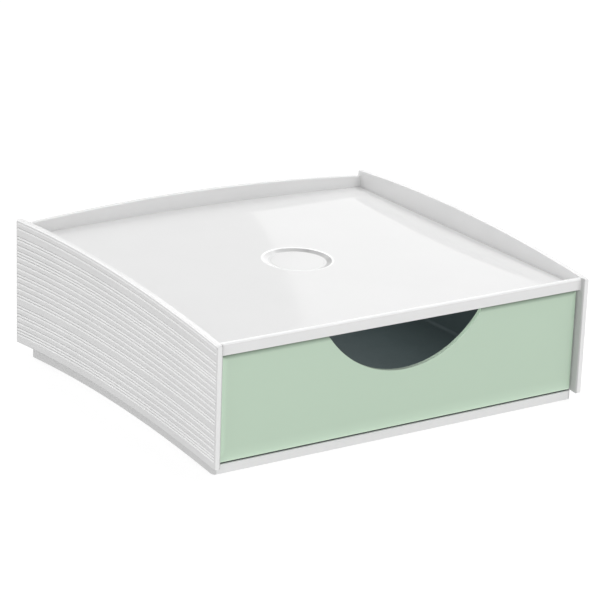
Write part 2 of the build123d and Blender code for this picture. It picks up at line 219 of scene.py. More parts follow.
def new_object(name, bm):
    """A linked object from a bmesh, with its faces turned outwards."""
    bmesh.ops.recalc_face_normals(bm, faces=bm.faces)
    mesh = bpy.data.meshes.new(name)
    bm.to_mesh(mesh)
    bm.free()
    return linked(name, mesh)


def fit_piece(piece, finish, body, nodes, edge=0.0, crease=35):
    """Softens a piece's edges, keeps its flats flat, and puts it on a CAD body in place of CAD nodes."""
    piece.data.materials.clear()
    piece.data.materials.append(finish)
    piece.data.shade_smooth()
    piece.data.set_sharp_from_angle(angle=math.radians(crease))
    if edge:
        soft = piece.modifiers.new("soft edge", "BEVEL")
        soft.width = edge
        soft.segments = 3
        soft.limit_method = "ANGLE"
        soft.angle_limit = math.radians(crease)
        soft.use_clamp_overlap = True
    flats = piece.modifiers.new("flats", "WEIGHTED_NORMAL")
    flats.keep_sharp = True
    flats.weight = 80
    bake(piece)
    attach(piece, body)
    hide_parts(*nodes)
    return piece


def finish_faces(piece, finish, chosen):
    """Gives another finish to the faces that a rule picks by their middle and their normal."""
    piece.data.materials.append(finish)
    for face in piece.data.polygons:
        if chosen(face.center, face.normal):
            face.material_index = len(piece.data.materials) - 1


base_low, base_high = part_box("base_pan")
panel_low, panel_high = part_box("right_side_panel")
inner_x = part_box("back_panel")[1].x
unit_depth = panel_high.y - panel_low.y
plinth_back_y = panel_high.y - plinth_back_inset
plinth_length = plinth_back_y - base_low.y
plinth_inner_x = base_high.x - plinth_wall
strip_top = base_low.z + strip_height
floor_top = strip_top + floor_rise
floor_low = floor_top - floor_wall
step_y = base_low.y + ledge_reach
pad_low = base_low.z + pad_rise


def panel_foot(y):
    """Height of the side panels' lower edge."""
    return panel_low.z + edge_arch * bow((y - panel_low.y) / unit_depth)


def plinth_foot(y):
    """Height of the plinth's lower edge."""
    return base_low.z + plinth_arch * bow((y - base_low.y) / plinth_length)


def plinth_head(y):
    """Height of the plinth's upper edge, a joint below the side panels."""
    return panel_foot(y) - plinth_joint


base = bmesh.new()
plinth_outer = rounded_outline(
    (base_low.x, base_low.y), (base_high.x, plinth_back_y), plinth_corner, y_runs=plinth_runs)
plinth_inner = rounded_outline(
    (-plinth_inner_x, base_low.y + plinth_wall), (plinth_inner_x, plinth_back_y - plinth_wall),
    plinth_inner_corner, y_runs=plinth_runs)
plinth_rows = (
    (plinth_outer, plinth_foot), (plinth_outer, plinth_head),
    (plinth_inner, plinth_head), (plinth_inner, plinth_foot))
add_loft(base, [[(x, y, level(y)) for x, y in outline] for outline, level in plinth_rows], ring=True)
add_prism(base, [
    (base_low.y + plinth_wall / 2, strip_top - ledge_wall),
    (base_low.y + plinth_wall / 2, strip_top),
    (step_y, strip_top),
    (step_y, floor_top),
    (base_high.y, floor_top),
    (base_high.y, floor_low),
    (step_y + ledge_wall, floor_low),
    (step_y + ledge_wall, strip_top - ledge_wall),
], -plinth_inner_x, plinth_inner_x)
for side in (-1, 1):
    edges = sorted((side * plinth_inner_x, side * inner_x))
    add_box(base, (edges[0], step_y, floor_low), (edges[1], base_high.y, floor_top))
add_box(
    base, (-plinth_inner_x, plinth_back_y - plinth_wall, strip_top),
    (plinth_inner_x, plinth_back_y, floor_low))
foot_names = ("front_left", "front_right", "rear_left", "rear_right")
foot_boxes = {name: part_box(f"foot_{name}") for name in foot_names}
for low, high in foot_boxes.values():
    middle = (low + high) / 2
    add_turned(base, (middle.x, middle.y, 0), [
        (pad_radius, floor_low),
        (pad_radius, pad_low),
        (socket_radius, pad_low),
        (socket_radius, pad_low + socket_depth),
    ])
white_plinth = moulded_plastic(
    "white plinth plastic", shade=(0.78,) * 3, gloss=0.34, grain=0.6 * mm, relief=0.006 * mm)
# Painted shade: the plinth sides get a darker, matt copy of the white, standing in for the shade under the
# side panels.
matt_plinth_painted_shade = moulded_plastic(
    "matt plinth side painted shade", shade=(0.6,) * 3, gloss=0.6, grain=0.5 * mm, relief=0.03 * mm)
base_piece = new_object("base_moulding", base)
fit_piece(base_piece, white_plinth, "housing", ["base_pan"], plinth_edge)
finish_faces(base_piece, matt_plinth_painted_shade, lambda spot, normal: (
    abs(spot.x) > plinth_inner_x and spot.z < panel_low.z + edge_arch))

# Rubber feet: soft black pads, pressed into the round sockets under the base.
# Each is a moulded disc with a rounded lower edge and rings that grip the desk.
foot_edge = 0.7 * mm
ring_depth = 0.3 * mm
ring_shares = (0.72, 0.66, 0.46, 0.40, 0.20, 0.14)
edge_angles = (30, 60, 90)
rubber = moulded_plastic(
    "black rubber", shade=(0.03, 0.03, 0.032), gloss=0.7, grain=0.4 * mm, relief=0.03 * mm, cloud=0.2)
for name, (low, high) in foot_boxes.items():
    middle = (low + high) / 2
    radius = (high.x - low.x) / 2
    profile = [(radius - foot_edge, high.z), (radius, high.z - foot_edge / 2), (radius, low.z + foot_edge)]
    profile += [
        (radius - foot_edge * (1 - math.cos(angle)), low.z + foot_edge * (1 - math.sin(angle)))
        for angle in map(math.radians, edge_angles)
    ]
    for number, share in enumerate(ring_shares):
        depths = (0, ring_depth) if number % 2 == 0 else (ring_depth, 0)
        profile += [(radius * share, low.z + depth) for depth in depths]
    foot = bmesh.new()
    add_turned(foot, (middle.x, middle.y, 0), profile)
    fit_piece(new_object(f"rubber_foot_{name}", foot), rubber, "housing", [f"foot_{name}"])

# Side panels: white cheeks whose outer faces carry fine V-shaped lines, like the page edges of a paper stack.
# Each is one polystyrene moulding with an arched upper and lower edge, and lugs inside that take the screws.
panel_wall = panel_high.x - inner_x
panel_front_height = 74.2 * mm
panel_back_rise = 7.5 * mm
sheet_steps = (3, 1, 1, 2, 2, 1, 2, 1, 3, 1, 2, 2, 2, 1, 2, 2, 2, 1, 1, 2, 2, 1, 3, 2, 1)
line_width = 1.35 * mm
line_depth = 0.5 * mm
line_lean = 0.08 * mm
line_margin = 0.7 * mm
line_ramp = 0.7 * mm
outer_round = 1.3 * mm
inner_round = 0.6 * mm
end_round = 0.8 * mm
panel_rows = 121
cheek_height = 66 * mm
cheek_reach = 6 * mm
palest_painted_light = 1.55
lug_reach = 8 * mm
lug_length = 12 * mm
lug_height = 8 * mm
upper_lug_height = 4 * mm
lug_round = 0.6 * mm
panel_crease = 22
screw_head_radius = 2.8 * mm
screw_head_height = 1.9 * mm


def calc(tree, operation, *values):
    """The result of one sum on values and node outputs."""
    return output(tree, "ShaderNodeMath", dict(enumerate(values)), operation=operation)


def along(tree, vector, direction):
    """How far a vector points along a direction."""
    product = add_node(tree, "ShaderNodeVectorMath", {0: vector, 1: direction}, operation="DOT_PRODUCT")
    return product.outputs["Value"]


def paint_light_by_slope(material, pull, flare=(0, 0, 0)):
    """Painted light: a finish made paler where its surface turns along a pull or a flare, darker against the
    pull.
    """
    tree = material.node_tree
    colour = tree.nodes["Principled BSDF"].inputs["Base Color"]
    normal = add_node(tree, "ShaderNodeNewGeometry").outputs["Normal"]
    either = output(tree, "ShaderNodeVectorMath", {0: normal}, operation="ABSOLUTE")
    level = calc(tree, "ADD", calc(tree, "ADD", along(tree, normal, pull), along(tree, either, flare)), 1)
    level = calc(tree, "MINIMUM", level, palest_painted_light)
    painted_light = output(tree, "ShaderNodeHueSaturation", {
        "Value": level, "Color": colour.links[0].from_socket})
    tree.links.new(painted_light, colour)


def new_tree(name, inputs):
    """An empty node tree with named inputs, and its input and output nodes."""
    tree = bpy.data.node_groups.new(name, "GeometryNodeTree")
    for label, kind in inputs.items():
        tree.interface.new_socket(label, in_out="INPUT", socket_type=f"NodeSocket{kind}")
    tree.interface.new_socket("Geometry", in_out="OUTPUT", socket_type="NodeSocketGeometry")
    given = tree.nodes.new("NodeGroupInput").outputs
    return tree, given, tree.nodes.new("NodeGroupOutput").inputs[0]


def run_tree(piece, tree, **values):
    """Runs a node tree on a piece with its inputs set, and keeps the result as a plain mesh."""
    modifier = piece.modifiers.new(tree.name, "NODES")
    modifier.node_group = tree
    for item in tree.interface.items_tree:
        key = item.name.lower().replace(" ", "_")
        if item.in_out == "INPUT" and key in values:
            modifier[item.identifier] = values[key]
    return bake(piece)


def finish_tree(tree, geometry, material, result):
    """Ends a tree: instances made real, and the finish set."""
    real = output(tree, "GeometryNodeRealizeInstances", {0: geometry})
    done = output(tree, "GeometryNodeSetMaterial", {"Geometry": real, "Material": material})
    tree.links.new(done, result)


def stored(tree, geometry, name, kind, value):
    """Geometry that carries a named value on its points."""
    inputs = {"Geometry": geometry, "Name": name, "Value": value}
    return output(tree, "GeometryNodeStoreNamedAttribute", inputs, data_type=kind)


def recalled(tree, name, kind):
    """A named value read back from points."""
    return output(tree, "GeometryNodeInputNamedAttribute", {"Name": name}, data_type=kind)


def panel_sweep_tree():
    """A panel section swept from front to back along an arch, with its lines fading out at both ends."""
    numbers = (
        "Side", "Front edge", "Length", "Bottom", "Height", "Back rise", "Arch", "Half width", "Wall",
        "Line margin", "Line ramp", "End round")
    tree, given, result = new_tree("Grooved panel sweep", {
        "Section": "Geometry", **dict.fromkeys(numbers, "Float"), "Rows": "Int", "Finish": "Material"})
    made, sums = partial(output, tree), partial(calc, tree)
    section = made("GeometryNodeMeshToCurve", {"Mesh": given["Section"]})
    where = made("GeometryNodeInputPosition")
    section = stored(tree, section, "section", "FLOAT_VECTOR", where)
    line = made("GeometryNodeCurvePrimitiveLine", {"End": (0, 1, 0)})
    line = made("GeometryNodeResampleCurve", {"Curve": line, "Count": given["Rows"]})
    factor = made("GeometryNodeSplineParameter")
    line = stored(tree, line, "along", "FLOAT", factor)
    sweep = made("GeometryNodeCurveToMesh", {
        "Curve": line, "Profile Curve": section, "Fill Caps": True})
    turn = sums("COSINE", sums("MULTIPLY", recalled(tree, "along", "FLOAT"), math.pi))
    ease = sums("MULTIPLY_ADD", turn, -0.5, 0.5)
    rest = sums("SUBTRACT", 1, ease)
    end_gap = sums("MULTIPLY", sums("MINIMUM", ease, rest), given["Length"])
    short = sums("SUBTRACT", 1, sums("DIVIDE", end_gap, given["End round"]))
    short = sums("MAXIMUM", short, 0)
    curl = sums("SQRT", sums("SUBTRACT", 1, sums("MULTIPLY", short, short)))
    pull = sums("MULTIPLY", sums("SUBTRACT", 1, curl), given["End round"])
    fade = made("ShaderNodeMapRange", {
        "Value": end_gap, "From Min": given["Line margin"],
        "From Max": sums("ADD", given["Line margin"], given["Line ramp"])})
    split = add_node(tree, "ShaderNodeSeparateXYZ", {0: recalled(tree, "section", "FLOAT_VECTOR")}).outputs

    def drawn_in(value, size):
        """A place in the section, drawn towards the section's middle at the rounded ends."""
        middle = sums("MULTIPLY", size, 0.5)
        keep = sums("SUBTRACT", 1, sums("DIVIDE", pull, middle))
        return sums("MULTIPLY_ADD", sums("SUBTRACT", value, middle), keep, middle)

    inset = drawn_in(sums("MULTIPLY_ADD", split[2], fade, split[0]), given["Wall"])
    x = sums("MULTIPLY", sums("SUBTRACT", given["Half width"], inset), given["Side"])
    y = sums("MULTIPLY_ADD", ease, given["Length"], given["Front edge"])
    share = sums("DIVIDE", split[1], given["Height"])
    climb = sums("MULTIPLY", sums("MULTIPLY", share, given["Back rise"]), ease)
    arch = sums("MULTIPLY", given["Arch"], 4)
    arch = sums("MULTIPLY", sums("MULTIPLY", ease, rest), arch)
    height = sums("ADD", drawn_in(split[1], given["Height"]), given["Bottom"])
    z = sums("ADD", height, sums("ADD", climb, arch))
    spot = made("ShaderNodeCombineXYZ", {0: x, 1: y, 2: z})
    moved = made("GeometryNodeSetPosition", {"Geometry": sweep, "Position": spot})
    finish_tree(tree, moved, given["Finish"], result)
    return tree


def panel_section():
    """The panel's section as (inset from the outer face, height, line depth) points, from the foot up."""
    foot = arc((inner_round, inner_round), inner_round, 270, 180)
    points = [(x, z, 0) for x, z in foot]
    sheets = 0
    for step in sheet_steps[:-1]:
        sheets += step
        middle = sheets / sum(sheet_steps) * panel_front_height
        points += [
            (0, middle - line_width / 2, 0),
            (0, middle + line_lean, line_depth),
            (0, middle + line_width / 2, 0),
        ]
    head = arc((outer_round, panel_front_height - outer_round), outer_round, 180, 90)
    head += arc((panel_wall - inner_round, panel_front_height - inner_round), inner_round, 90, 0)
    head += [(panel_wall, cheek_height)]
    head += arc((panel_wall - inner_round, inner_round), inner_round, 0, -90)
    return points + [(x, z, 0) for x, z in head]


def add_soft_box(bm, low, high, edge):
    """A box whose edges are rounded a little."""
    block = bmesh.new()
    add_box(block, low, high)
    bmesh.ops.bevel(block, geom=block.edges, offset=edge, segments=2, affect="EDGES", profile=0.5)
    scrap = bpy.data.meshes.new("block")
    block.to_mesh(scrap)
    block.free()
    bm.from_mesh(scrap)
    bpy.data.meshes.remove(scrap)


def screw_spots(node, axis):
    """Places along one axis of the first and the last screw in a CAD node."""
    low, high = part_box(node)
    return low[axis] + screw_head_radius, high[axis] - screw_head_radius


def screw_grid(node, *axes):
    """Places of the four corner screws in a CAD node, along two axes."""
    return list(itertools.product(*(screw_spots(node, axis) for axis in axes)))


def on_lined_face(spot, normal):
    """Whether a face lies on the lined side of a panel."""
    return abs(spot.x) > panel_high.x - line_depth and normal.z < abs(normal.x)


def on_front_cheek(spot, normal):
    """Whether a face lies on the inner strip that shows beside the lip and the drawer, where shade is
    painted.
    """
    inside = abs(spot.x) < inner_x + mm and spot.y < panel_low.y + cheek_reach
    return inside and (spot.y < lip_front_y or spot.z < panel_low.z + cheek_height)


sides = {"left": -1, "right": 1}
section_points = panel_section()
section_loop = [(number, (number + 1) % len(section_points)) for number in range(len(section_points))]
sweep_tree = panel_sweep_tree()
white_panel = moulded_plastic(
    "white panel plastic", shade=(0.83,) * 3, gloss=0.22, grain=0.8 * mm, relief=0.003 * mm, wave=0.02 * mm)
# Painted light and shade: the lined faces get a darker copy of the white, and each line's upper flank is
# painted darker and its lower flank paler by the way it faces.
matt_panel_painted_shading = moulded_plastic(
    "matt panel face painted shading", shade=(0.67,) * 3, gloss=0.34, grain=0.8 * mm, relief=0.002 * mm)
paint_light_by_slope(matt_panel_painted_shading, pull=(0, 0, 0.85))
# Painted shade: the inner strip beside the lip and the drawer gets a darker copy of the white, for the shade
# it lies in next to the drawer.
matt_cheek_painted_shade = moulded_plastic(
    "matt panel inside painted shade", shade=(0.52,) * 3, gloss=0.5, grain=0.8 * mm, relief=0.004 * mm)
lip_front_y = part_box("top_deck")[0].y
half_lug = lug_length / 2
lug_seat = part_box("deck_screws")[0].z + screw_head_height
lugs = [
    ((y - half_lug, floor_top), (y + half_lug, floor_top + lug_height))
    for y in screw_spots("base_screws", 1)]
lugs += [
    ((y - half_lug, lug_seat), (y + half_lug, lug_seat + upper_lug_height))
    for y in screw_spots("deck_screws", 1)]
lugs += [
    ((base_high.y - lug_height, z - half_lug), (base_high.y, z + half_lug))
    for z in screw_spots("back_screws", 2)]
for side_name, side in sides.items():
    section_mesh = bpy.data.meshes.new("panel section")
    section_mesh.from_pydata(section_points, section_loop, [])
    panel = linked(f"{side_name}_grooved_panel", section_mesh)
    swept = run_tree(
        panel, sweep_tree, side=side, front_edge=panel_low.y, length=unit_depth, bottom=panel_low.z,
        height=panel_front_height, back_rise=panel_back_rise, arch=edge_arch, half_width=panel_high.x,
        wall=panel_wall, line_margin=line_margin, line_ramp=line_ramp, end_round=end_round,
        rows=panel_rows, finish=white_panel)
    cheek = bmesh.new()
    cheek.from_mesh(swept)
    lug_xs = sorted((side * (inner_x + lug_round), side * (inner_x - lug_reach)))
    for low, high in lugs:
        add_soft_box(cheek, (lug_xs[0], *low), (lug_xs[1], *high), lug_round)
    bmesh.ops.recalc_face_normals(cheek, faces=cheek.faces)
    cheek.to_mesh(swept)
    cheek.free()
    node = f"{side_name}_side_panel"
    fit_piece(panel, white_panel, "housing", [node], crease=panel_crease)
    finish_faces(panel, matt_panel_painted_shading, on_lined_face)
    finish_faces(panel, matt_cheek_painted_shade, on_front_cheek)

# Runners: grey channel rails screwed inside the side panels, whose slots carry the ribs of the drawer tray.
# They are extruded in hard plastic, sawn to length, and sunk for flat screw heads.
slot_half = 1.85 * mm
runner_web = 2.5 * mm
runner_edge = 0.4 * mm
sunk_depth = 1.5 * mm
sunk_play = 0.1 * mm
shank_radius = 1.5 * mm
hole_facets = 32


def cut_away(bm, cutter):
    """One bmesh with another cut out of it."""
    body, tool = new_object("body", bm), new_object("tool", cutter)
    cut = body.modifiers.new("cut", "BOOLEAN")
    cut.operation = "DIFFERENCE"
    cut.solver = "EXACT"
    cut.object = tool
    left = bmesh.new()
    left.from_mesh(bake(body))
    for scrap in (body, tool):
        mesh = scrap.data
        bpy.data.objects.remove(scrap)
        bpy.data.meshes.remove(mesh)
    return left


def sunk_hole(cutter, seat, aim, depth):
    """Adds the room of one flat-headed screw to a cutter."""
    mouth, bore = screw_head_radius + sunk_play, shank_radius + sunk_play
    profile = [(mouth, -mm), (mouth, 0), (bore, sunk_depth), (bore, depth)]
    add_turned(cutter, seat, profile, aim, hole_facets)


grey_rail = moulded_plastic(
    "grey rail plastic", shade=(0.27, 0.28, 0.29), gloss=0.4, grain=0.7 * mm, relief=0.015 * mm, cloud=0.06)
for side_name, side in sides.items():
    low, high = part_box(f"{side_name}_runner")
    middle_z, half = (low.z + high.z) / 2, (high.z - low.z) / 2
    mouth_x = side * min(abs(low.x), abs(high.x))
    web_x = side * (inner_x - runner_web)
    channel = [
        (side * inner_x, -half), (mouth_x, -half), (mouth_x, -slot_half), (web_x, -slot_half),
        (web_x, slot_half), (mouth_x, slot_half), (mouth_x, half), (side * inner_x, half)]
    rail = bmesh.new()
    add_loft(rail, [[(x, y, middle_z + z) for x, z in channel] for y in (low.y, high.y)])
    holes = bmesh.new()
    first_y, last_y = screw_spots(f"{side_name}_runner_screws", 1)
    runner_screw_ys = (first_y, (first_y + last_y) / 2, last_y)
    for y in runner_screw_ys:
        sunk_hole(holes, (web_x, y, middle_z), (side, 0, 0), runner_web + mm)
    piece = new_object(f"{side_name}_channel_rail", cut_away(rail, holes))
    fit_piece(piece, grey_rail, "housing", [f"{side_name}_runner"], runner_edge)

# Back wall: a flat white moulding between the side panels, whose arched upper edge is the deck's back rim.
# Four flat-headed screws hold it to lugs on the panels.
back_round = 0.9 * mm
back_foot_round = 0.4 * mm
back_columns = 64
back_low, back_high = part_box("back_panel")
back_end_top = back_high.z - edge_arch


def back_column(x):
    """The back wall's section at one place across the unit."""
    top = back_end_top + edge_arch * bow((x + inner_x) / (2 * inner_x))
    outline = rounded_outline(
        (back_low.y, back_low.z), (back_high.y, top), back_round, steps=round_steps,
        foot_radius=back_foot_round)
    return [(x, y, z) for y, z in outline]


back = bmesh.new()
add_loft(back, [back_column(inner_x * (2 * number / back_columns - 1)) for number in range(back_columns + 1)])
holes = bmesh.new()
for x, z in screw_grid("back_screws", 0, 2):
    sunk_hole(holes, (x, back_high.y, z), (0, -1, 0), back_high.y - back_low.y + mm)
back_piece = new_object("back_wall_moulding", cut_away(back, holes))
fit_piece(back_piece, white_panel, "housing", ["back_panel"])
# Painted shade: the back face gets a darker copy of the white, so that the lights behind do not blow it out.
matt_back_painted_shade = moulded_plastic(
    "matt back face painted shade", shade=(0.57,) * 3, gloss=0.45, grain=0.8 * mm, relief=0.008 * mm)
finish_faces(back_piece, matt_back_painted_shade, lambda spot, normal: (
    normal.y > 0 and spot.y > back_high.y - back_round / 2))

# Deck: a glossy white top plate that rises and arches a little to the back, behind a straight front lip.
# It is one polystyrene moulding with a dished round recess, and bosses and pads below for screws and stops.
deck_low, deck_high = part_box("top_deck")
lip_wall = 3 * mm
lip_height = 7.6 * mm
lip_round = 1.3 * mm
lip_foot_round = 0.3 * mm
deck_drop = 5.6 * mm
deck_back_rise = 2.2 * mm
deck_back_arch = 3 * mm
deck_wall = 2 * mm
deck_play = 0.12 * mm
deck_edge = 0.3 * mm
border_runs = 40
deck_rows = 16
recess_radius = 22.8 * mm
recess_floor_radius = 16.5 * mm
recess_depth = 1.5 * mm
flank_radius = 21.3 * mm
hollow_radius = 18 * mm
recess_rows = 16
disc_thickness = 0.8 * mm
well_radius = 22.5 * mm
well_depth = 3.5 * mm
boss_radius = 3.5 * mm
peg_radius = 2 * mm
stop_plate = 2 * mm
row_crowding = 1.4
deck_shade = (0.78,) * 3
plate_front_y = deck_low.y + lip_wall / 2
plate_length = deck_high.y - plate_front_y
deck_front_top = deck_high.z - deck_drop


def deck_level(x, y):
    """Height of the deck's upper face at a place in plan."""
    along = (y - plate_front_y) / plate_length
    return deck_front_top + along * (deck_back_rise + deck_back_arch * bow((x + inner_x) / (2 * inner_x)))


def deck_border():
    """Points around the plate's edge in plan."""
    half, front, back_edge = inner_x - deck_play, plate_front_y, deck_high.y - deck_play
    corners = [Vector(spot) for spot in (
        (-half, front), (half, front), (half, back_edge), (-half, back_edge))]
    runs = zip(corners, corners[1:] + corners[:1])
    return [start.lerp(end, number / border_runs) for start, end in runs for number in range(border_runs)]


border = deck_border()


def deck_row(radius, share, drop):
    """A loop of the deck between a circle and the plate's edge, at a depth below its upper face."""
    row = []
    for spot in border:
        inner = spot.normalized() * radius
        plan = inner.lerp(spot, share)
        row.append((plan.x, plan.y, deck_level(plan.x, plan.y) - drop))
    return row


def dish(share):
    """Depth of the recess from its rim to its floor: a rounded rim, a straight flank and a tight hollow."""
    rim_share, hollow_share = 0.3, 0.12
    steepness = 1 / (1 - rim_share / 2 - hollow_share / 2)
    if share < rim_share:
        return steepness * share ** 2 / rim_share / 2
    rest = 1 - share
    if rest < hollow_share:
        return 1 - steepness * rest ** 2 / hollow_share / 2
    return steepness * (share - rim_share / 2)


outward = [(number / deck_rows) ** row_crowding for number in range(deck_rows + 1)]
rows = [deck_row(well_radius - deck_edge, 0, well_depth), deck_row(well_radius, 0, well_depth - deck_edge)]
rows += [deck_row(well_radius, share, deck_wall) for share in outward]
rows += [deck_row(recess_radius, 1, deck_edge)]
rows += [deck_row(recess_radius, share, 0) for share in [1 - deck_edge / inner_x] + outward[-2::-1]]
for number in range(1, recess_rows + 1):
    share = number / recess_rows
    radius = recess_radius + (hollow_radius - recess_radius) * share
    rows.append(deck_row(radius, 0, recess_depth * dish(share)))
rows += [deck_row(recess_floor_radius, 0, drop) for drop in (recess_depth, recess_depth + disc_thickness)]
deck = bmesh.new()
add_loft(deck, rows)
lip_top, lip_low = deck_high.z, deck_high.z - lip_height
lip_back_y = deck_low.y + lip_wall
lip_outline = rounded_outline(
    (deck_low.y, lip_low), (lip_back_y, lip_top), lip_round, steps=round_steps, foot_radius=lip_foot_round)
add_prism(deck, lip_outline, -inner_x + deck_play / 2, inner_x - deck_play / 2)
boss_low = lug_seat + upper_lug_height
for x, y in screw_grid("deck_screws", 0, 1):
    boss_top = deck_level(x, y) - deck_wall / 2
    add_turned(deck, (x, y, 0), [(boss_radius, boss_low), (boss_radius, boss_top)])
for side_name in sides:
    low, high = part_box(f"{side_name}_drawer_stop")
    add_box(deck, (low.x, low.y, high.z), (high.x, high.y, deck_level(low.x, low.y) - deck_wall / 2))
    middle = (low + high) / 2
    add_turned(deck, (middle.x, middle.y, 0), [
        (peg_radius - deck_edge, high.z - stop_plate), (peg_radius, high.z - stop_plate + deck_edge),
        (peg_radius, high.z)])


def on_flank(spot, normal):
    """Whether a face lies on the sloping flank of the recess, where light and shade are painted."""
    return hollow_radius < spot.xy.length < flank_radius and normal.z > 0


def on_rim(spot, normal):
    """Whether a face lies on the rim of the recess or on the upper edge of the lip, where a highlight is
    painted.
    """
    if spot.z > lip_top - lip_round and spot.y < lip_back_y:
        return True
    return flank_radius < spot.xy.length < recess_radius and normal.z > 0


white_deck = moulded_plastic(
    "white deck plastic", shade=deck_shade, gloss=0.055, grain=1.5 * mm, relief=0.001 * mm,
    wave=0.03 * mm, cloud=0.015)
# Painted light and shade: the recess flank gets a darker copy of the white, painted paler where it faces
# right or back and darker where it faces left or front.
polished_flank_painted_shading = moulded_plastic(
    "polished flank painted shading", shade=(0.7,) * 3, gloss=0.08, grain=1.5 * mm, relief=0.001 * mm)
paint_light_by_slope(polished_flank_painted_shading, pull=(1.2, 0.2, 0))
# Painted highlight: the rim of the recess and the upper edge of the lip get a paler copy of the white.
polished_rim_painted_highlight = moulded_plastic(
    "polished rim painted highlight", shade=(0.93,) * 3, gloss=0.1, grain=1.5 * mm, relief=0.001 * mm)
deck_piece = new_object("deck_moulding", deck)
fit_piece(deck_piece, white_deck, "housing", ["top_deck"])
finish_faces(deck_piece, polished_flank_painted_shading, on_flank)
finish_faces(deck_piece, polished_rim_painted_highlight, on_rim)

# Recess inlay: the bare round disc on the floor of the recess.
# It is a thin moulded disc with a satin face, pressed into a pocket in the deck.
disc_play = 0.04 * mm
disc_edge = 0.06 * mm
disc_facets = 128
edge_share = 0.3
disc_radius = recess_floor_radius - disc_play
slope = (deck_back_rise + deck_back_arch) / plate_length
disc = bmesh.new()
add_turned(disc, (0, 0, deck_level(0, 0) - recess_depth), [
    (disc_radius, -disc_thickness),
    (disc_radius, -disc_edge),
    (disc_radius - disc_edge * edge_share, -disc_edge * edge_share),
    (disc_radius - disc_edge, 0),
    (disc_radius - 3 * disc_edge, 0),
], (0, -slope, 1), disc_facets)
white_inlay = moulded_plastic(
    "white inlay plastic", shade=deck_shade, gloss=0.14, grain=0.6 * mm, relief=0.006 * mm, cloud=0.015)
fit_piece(new_object("recess_inlay", disc), white_inlay, "housing", ["deck_disc"])

# Drawer stops: small white catches staked on pegs under the deck, each with a tongue that hangs down.
# The tabs at the back of the tray meet the tongues when the drawer is drawn out.
stop_tongue = 3 * mm
stop_edge = 0.4 * mm
peg_room = peg_radius + sunk_play
for side_name in sides:
    low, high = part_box(f"{side_name}_drawer_stop")
    tongue_y, plate_low = high.y - stop_tongue, high.z - stop_plate
    catch = bmesh.new()
    add_prism(catch, [
        (low.y, high.z), (high.y, high.z), (high.y, low.z),
        (tongue_y, low.z), (tongue_y, plate_low), (low.y, plate_low)], low.x, high.x)
    hole = bmesh.new()
    middle = (low + high) / 2
    add_turned(hole, (middle.x, middle.y, 0), [
        (peg_room, plate_low - stop_plate), (peg_room, high.z + stop_plate)])
    piece = new_object(f"{side_name}_stop_catch", cut_away(catch, hole))
    fit_piece(piece, white_panel, "housing", [f"{side_name}_drawer_stop"], stop_edge)

# Housing screws: zinc-plated steel screws with cross recesses, which join base, panels, deck, back and rails.
# Those into the base and the deck have raised heads, and those in the back and the rails lie flush.
cross_width = 0.9 * mm
cross_depth = 1.1 * mm
cross_reach_share = 1.15
head_top_share = 0.72
head_facets = 32
shank_facets = 20
zinc_shade = (0.66, 0.65, 0.61)
zinc_dark_share = 0.8
zinc_gloss = 0.3
zinc_gloss_range = (0.7, 1.4)
zinc_cells, scuff_cells, scratch_cells = 300, 900, 2500
scratch_depth = 0.01 * mm


def screw_tree():
    """A screw on every point, aimed and as long as its point says, with a raised or a sunk head."""
    numbers = ("Head radius", "Head height", "Sunk height", "Shank radius", "Cross width", "Cross depth")
    tree, given, result = new_tree("Screws on seats", {
        "Seats": "Geometry", **dict.fromkeys(numbers, "Float"), "Finish": "Material"})
    made, sums = partial(output, tree), partial(calc, tree)
    reach = sums("MULTIPLY", given["Head radius"], cross_reach_share)
    depth = sums("MULTIPLY", given["Cross depth"], 2)
    bars = []
    for size in ((reach, given["Cross width"], depth), (given["Cross width"], reach, depth)):
        vector = made("ShaderNodeCombineXYZ", dict(enumerate(size)))
        bars.append(made("GeometryNodeMeshCube", {"Size": vector}))

    def crossed(top_radius, depth, height):
        """A conical head with the cross recess cut into its face."""
        head = made("GeometryNodeMeshCone", {
            "Vertices": head_facets, "Radius Bottom": given["Head radius"], "Radius Top": top_radius,
            "Depth": depth})
        cut = add_node(tree, "GeometryNodeMeshBoolean", {"Mesh 1": head}, operation="DIFFERENCE")
        offset = made("ShaderNodeCombineXYZ", {2: height})
        for bar in bars:
            placed = made("GeometryNodeTransform", {"Geometry": bar, "Translation": offset})
            tree.links.new(placed, cut.inputs["Mesh 2"])
        return cut.outputs[0]

    raised_top = sums("MULTIPLY", given["Head radius"], head_top_share)
    raised = crossed(raised_top, given["Head height"], given["Head height"])
    raised = made("GeometryNodeTransform", {"Geometry": raised, "Rotation": (math.pi, 0, 0)})
    sunk = crossed(given["Shank radius"], given["Sunk height"], 0)
    shank = made("GeometryNodeMeshCylinder", {
        "Vertices": shank_facets, "Radius": given["Shank radius"], "Depth": 1})
    shank = made("GeometryNodeTransform", {"Geometry": shank, "Translation": (0, 0, 0.5)})
    aim = made("FunctionNodeAlignRotationToVector", {
        "Vector": recalled(tree, "aim", "FLOAT_VECTOR")}, axis="Z")
    flush = recalled(tree, "flush", "FLOAT")
    start = sums("MULTIPLY", flush, given["Sunk height"])
    length = sums("SUBTRACT", recalled(tree, "grip", "FLOAT"), start)
    stretch = made("ShaderNodeCombineXYZ", {0: 1, 1: 1, 2: length})
    joined = add_node(tree, "GeometryNodeJoinGeometry")
    standing, full_size = sums("SUBTRACT", 1, flush), (1, 1, 1)
    forms = ((raised, standing, full_size), (sunk, flush, full_size), (shank, 1, stretch))
    for form, chosen, scale in forms:
        placed = add_node(tree, "GeometryNodeInstanceOnPoints", {
            "Points": given["Seats"], "Selection": chosen, "Instance": form, "Rotation": aim, "Scale": scale})
        if form is shank:
            offset = made("ShaderNodeCombineXYZ", {2: start})
            placed = add_node(tree, "GeometryNodeTranslateInstances", {
                "Instances": placed.outputs[0], "Translation": offset})
        tree.links.new(placed.outputs[0], joined.inputs[0])
    finish_tree(tree, joined.outputs[0], given["Finish"], result)
    return tree


